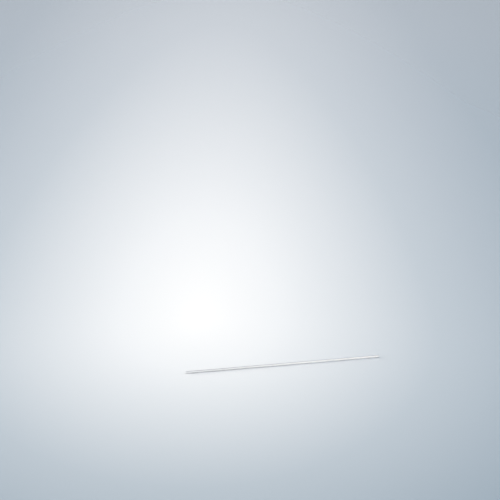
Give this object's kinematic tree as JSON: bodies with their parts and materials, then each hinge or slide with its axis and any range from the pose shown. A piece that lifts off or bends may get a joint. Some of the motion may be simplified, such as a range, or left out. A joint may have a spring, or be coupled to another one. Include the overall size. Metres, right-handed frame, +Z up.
{
  "type": "glass capillary tube",
  "caption": "Slim straight glass tube with an open bore from end to end and fire-polished lips, lying on its side.",
  "frame": {"origin": "under the middle of the tube, on the surface it lies on", "axes": "+X along the bore, +Z up, +Y across the tube"},
  "size_m": [0.08, 0.001, 0.001],
  "materials": {
    "glass": "clear colourless drawn glass, polished, with faint draw lines along its length"
  },
  "bodies": {
    "root": {"capillary_tube": "glass"}
  },
  "joints": []
}
